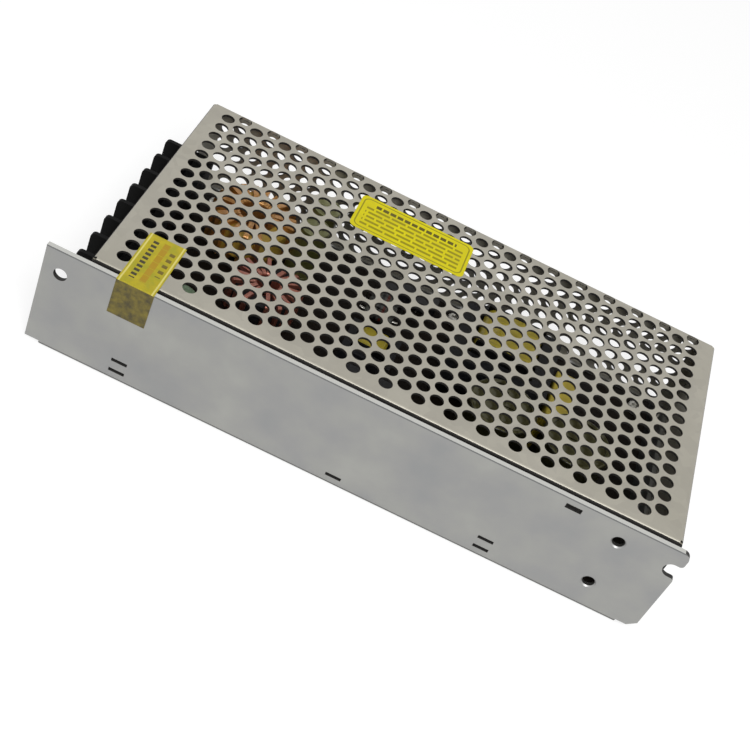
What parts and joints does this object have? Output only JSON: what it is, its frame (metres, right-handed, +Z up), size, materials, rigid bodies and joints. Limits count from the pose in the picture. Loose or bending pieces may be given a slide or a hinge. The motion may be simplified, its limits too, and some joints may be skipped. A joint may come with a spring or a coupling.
{
  "type": "mesh case switching power supply",
  "caption": "Enclosed switching power supply: folded side plate with mounting ears, perforated cover, barrier terminal block at one end, and a turning trimmer.",
  "frame": {"origin": "middle of the base, on its underside", "axes": "+X from the terminal end to the other end, +Y from the plain long side wall to the perforated far wall, +Z up"},
  "size_m": [0.199, 0.0981, 0.0381],
  "materials": {
    "aluminium_sheet": "plain rolled aluminium sheet, fine grain, satin",
    "steel_cover": "punched and folded zinc-plated steel sheet, satin",
    "plated_screw": "plated steel screw",
    "label_yellow": "yellow film label, bare of words",
    "seal_yellow": "yellow paper seal, bare of words",
    "insulating_film": "thin polyester film",
    "board_laminate": "tan phenolic board",
    "black_moulding": "black moulded thermoplastic",
    "tinned_metal": "tinned brass and steel",
    "trimmer_case": "blue moulded plastic",
    "trimmer_knob": "white moulded plastic",
    "lamp_lens": "clear green epoxy",
    "fuse_glass": "clear glass tube",
    "disc_green": "green epoxy coating",
    "disc_blue": "blue epoxy coating",
    "film_box": "yellow moulded box",
    "ferrite": "sintered ferrite",
    "enamelled_wire": "enamelled copper wire",
    "black_epoxy": "black moulded epoxy",
    "can_sleeve": "shrunk sleeve on an aluminium can",
    "silicone_pad": "grey silicone pad",
    "aluminium_bar": "extruded aluminium bar",
    "winding_tape": "yellow polyester tape",
    "powder_core": "painted iron powder ring",
    "resistor_coat": "grey enamel coating"
  },
  "bodies": {
    "supply": {"chassis": "aluminium_sheet", "perforated_cover": "steel_cover", "cover_screws": "plated_screw", "top_label": "label_yellow", "seal_label": "seal_yellow", "insulating_sheet": "insulating_film", "circuit_board": "board_laminate", "board_standoffs": "plated_screw", "board_screws": "plated_screw", "terminal_block": "black_moulding", "terminal_plates": "tinned_metal", "terminal_clamps": "tinned_metal", "terminal_screws": "plated_screw", "trimmer_body": "trimmer_case", "indicator_lamp": "lamp_lens", "fuse_glass": "fuse_glass", "fuse_caps": "tinned_metal", "fuse_clips": "tinned_metal", "thermistor": "disc_green", "suppression_discs": "disc_blue", "line_capacitor": "film_box", "coupling_capacitor": "film_box", "line_choke_core": "ferrite", "line_choke_windings": "enamelled_wire", "bridge_rectifier": "black_epoxy", "bulk_capacitors": "can_sleeve", "insulating_pad": "silicone_pad", "heat_bar": "aluminium_bar", "switching_transistors": "black_epoxy", "output_rectifier": "black_epoxy", "device_screws": "plated_screw", "main_transformer_core": "ferrite", "main_transformer_windings": "winding_tape", "main_transformer_bobbin": "black_moulding", "driver_transformer_core": "ferrite", "driver_transformer_windings": "winding_tape", "driver_transformer_bobbin": "black_moulding", "output_choke_core": "powder_core", "output_choke_winding": "enamelled_wire", "output_capacitors": "can_sleeve", "control_chip": "black_epoxy", "resistors": "resistor_coat"},
    "rotor": {"trimmer_rotor": "trimmer_knob"}
  },
  "joints": [
    {"name": "trimmer_turn", "type": "hinge", "parent": "supply", "child": "rotor", "pos_m": [-0.0907, 0.0388, 0.011], "axis": [0, 0, 1], "range_deg": [-105, 105]}
  ]
}
